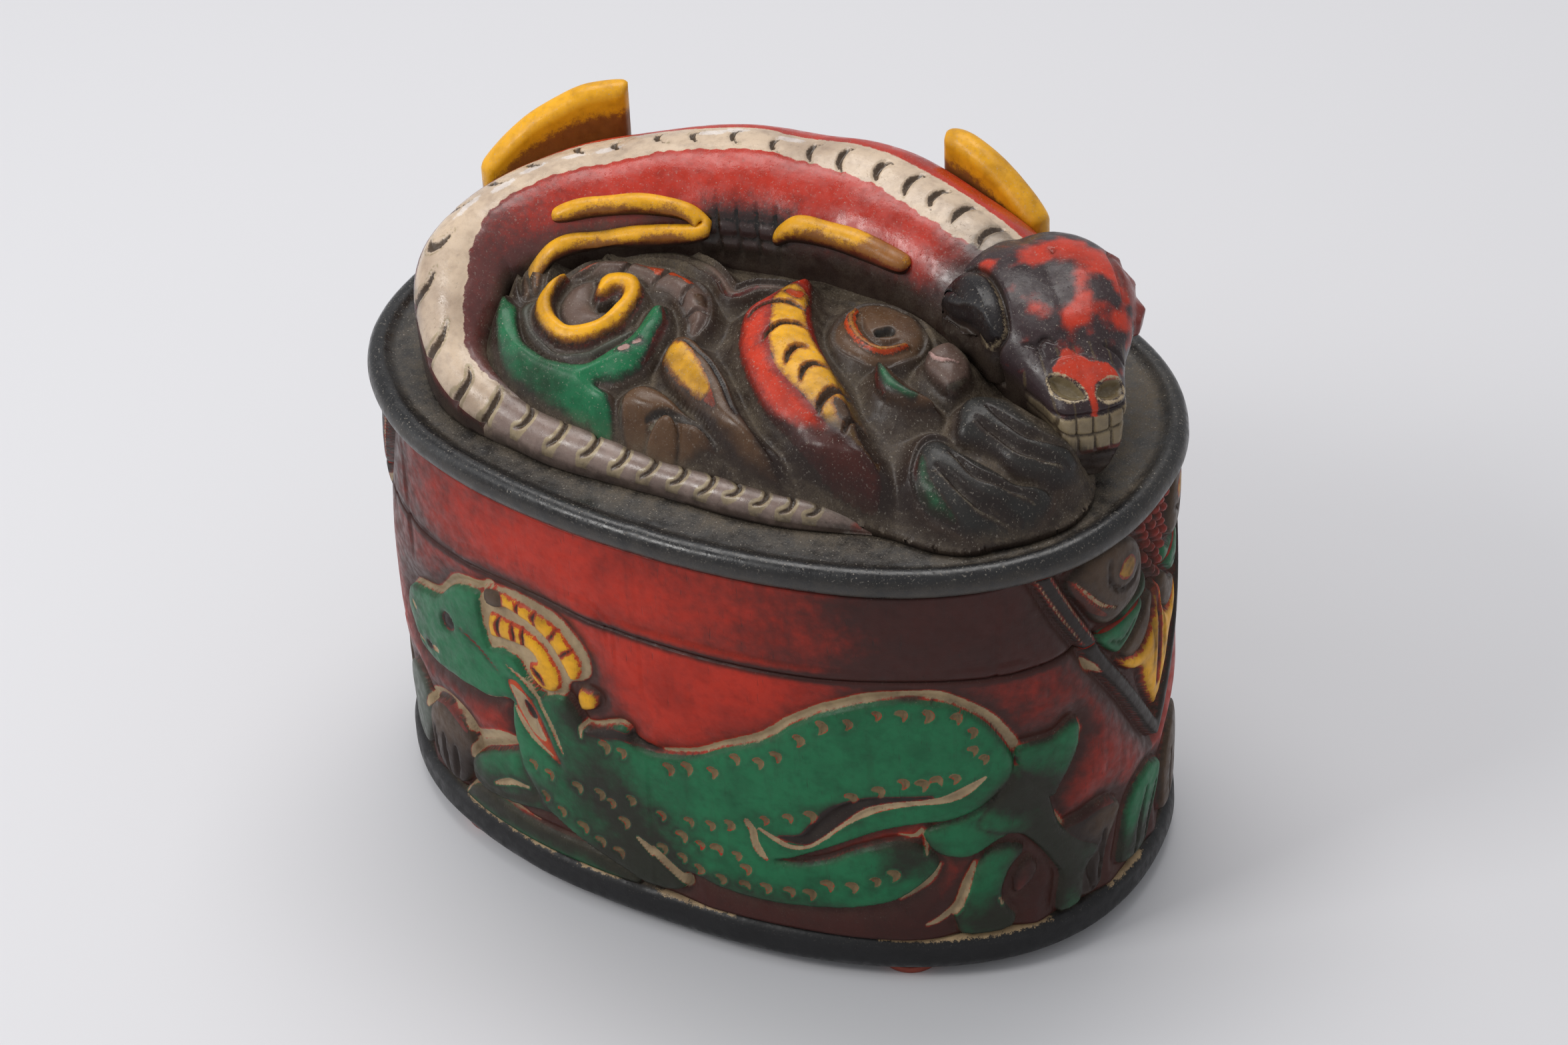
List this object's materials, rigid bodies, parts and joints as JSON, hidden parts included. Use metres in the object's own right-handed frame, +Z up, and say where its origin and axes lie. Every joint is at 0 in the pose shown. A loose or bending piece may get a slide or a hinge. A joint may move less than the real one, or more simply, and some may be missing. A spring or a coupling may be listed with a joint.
{
  "type": "carved lidded box",
  "caption": "Oval carved wooden box on low feet, with a lift-off lid topped by a long-tailed beast curled round scrollwork.",
  "frame": {"origin": "on the standing surface under the middle of the oval", "axes": "+X along the oval's length, towards the beast's head; +Y towards the back, where the beast's body lies; +Z up"},
  "size_m": [0.15, 0.1024, 0.1244],
  "materials": {
    "red_lacquer": "semi-gloss red lacquer over wood, with open pores and wear",
    "black_lacquer": "semi-gloss black lacquer, dusty and worn at edges",
    "dark_lacquer": "blackened red lacquer with rubbed patches",
    "green_lacquer": "green lacquer with pale worn edges",
    "yellow_lacquer": "yellow lacquer shaded brown",
    "umber_ground": "matt umber stain with dust in the hollows"
  },
  "bodies": {
    "box": {"base_board": "black_lacquer", "box_wall": "red_lacquer", "foot_front_right": "dark_lacquer", "foot_back_right": "dark_lacquer", "foot_back_left": "dark_lacquer", "foot_front_left": "dark_lacquer"},
    "lid": {"lid_skirt": "red_lacquer", "lid_board": "black_lacquer", "beast_body": "red_lacquer", "beast_head": "dark_lacquer", "leg_near_hind": "yellow_lacquer", "leg_near_fore": "yellow_lacquer", "leg_far_hind": "yellow_lacquer", "leg_far_fore": "yellow_lacquer", "scroll_bed": "umber_ground", "serpent": "red_lacquer", "big_spiral": "yellow_lacquer", "leaf_cluster": "green_lacquer", "green_wing": "green_lacquer", "ribbed_arch": "umber_ground", "small_spiral": "umber_ground", "curl_ball": "umber_ground", "long_leaf": "umber_ground", "small_leaf": "green_lacquer", "knob": "dark_lacquer"}
  },
  "joints": [
    {"name": "lid_lift", "type": "slide", "parent": "box", "child": "lid", "axis": [0, 0, 1], "range_m": [0, 0.06]}
  ]
}
